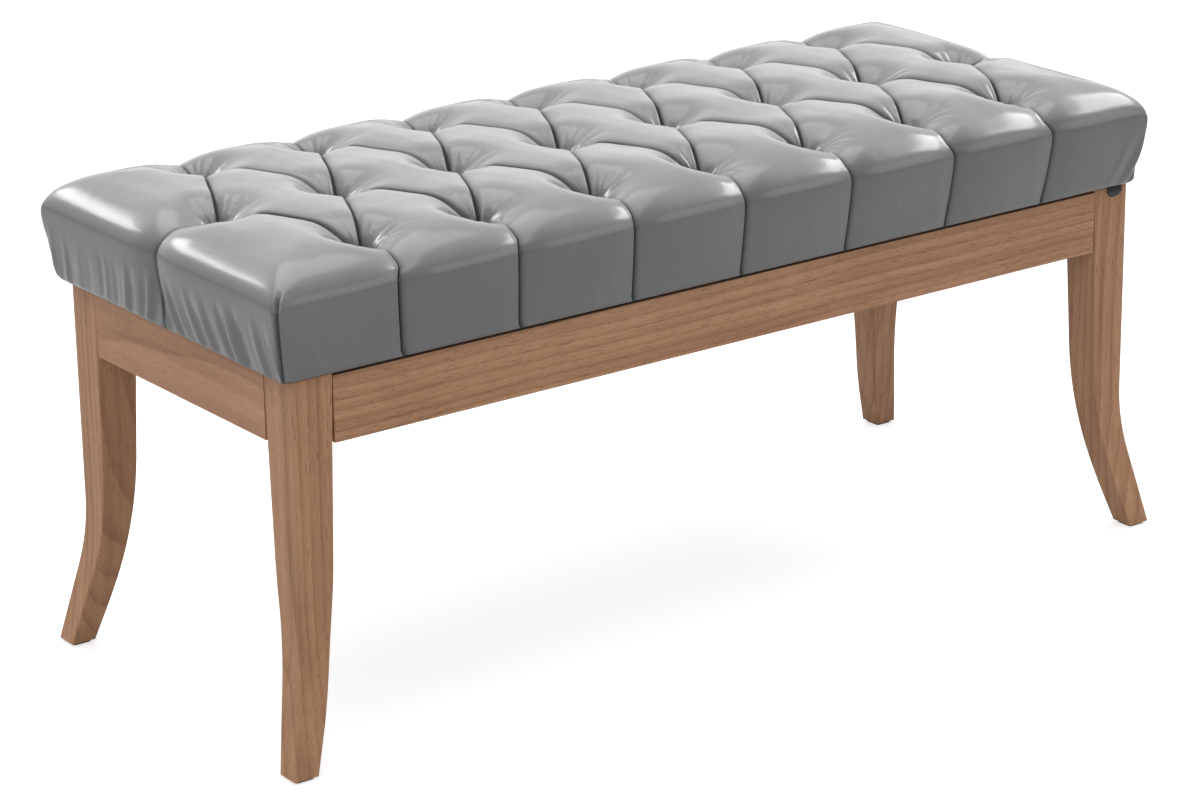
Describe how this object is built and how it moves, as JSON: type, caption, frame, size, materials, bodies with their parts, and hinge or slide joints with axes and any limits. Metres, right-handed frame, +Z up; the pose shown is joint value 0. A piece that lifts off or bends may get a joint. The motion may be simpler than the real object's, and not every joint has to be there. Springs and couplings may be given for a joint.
{
  "type": "upholstered bench",
  "caption": "Long backless bench with a deep diamond-tufted grey leatherette seat pad on a wooden frame with aprons and outward-curved tapered legs.",
  "frame": {"origin": "on the floor, under the middle of the bench", "axes": "+Z up, +X along the bench's length, -Y towards its front"},
  "size_m": [1.0002, 0.4096, 0.4564],
  "materials": {
    "walnut_wood": "satin lacquered walnut colour",
    "block_wood": "plain sawn, unfinished",
    "plywood": "plain sanded plywood",
    "beech_dowel": "plain turned",
    "zinc_steel": "zinc plated",
    "grey_leatherette": "glossy coated",
    "seat_foam": "open cell",
    "black_cloth": "thin woven",
    "twine": "waxed",
    "black_plastic": "moulded"
  },
  "bodies": {
    "root": {"leg_front_left": "walnut_wood", "leg_front_right": "walnut_wood", "leg_back_left": "walnut_wood", "leg_back_right": "walnut_wood", "apron_front": "walnut_wood", "apron_back": "walnut_wood", "apron_left": "walnut_wood", "apron_right": "walnut_wood", "corner_block_front_left": "block_wood", "corner_block_front_right": "block_wood", "corner_block_back_left": "block_wood", "corner_block_back_right": "block_wood", "corner_block_screws": "zinc_steel", "middle_rail": "block_wood", "frame_dowels": "beech_dowel", "hanger_bolts": "zinc_steel", "bolt_washers": "zinc_steel", "bolt_nuts": "zinc_steel", "foot_glides": "black_plastic", "glide_nails": "zinc_steel", "seat_screws": "zinc_steel", "seat_board": "plywood", "seat_foam": "seat_foam", "seat_cover": "grey_leatherette", "tuft_ties": "twine", "tuft_washers": "zinc_steel", "dust_cover": "black_cloth", "dust_cover_fold": "black_cloth", "cover_staples": "zinc_steel", "dust_cover_staples": "zinc_steel"}
  },
  "joints": []
}
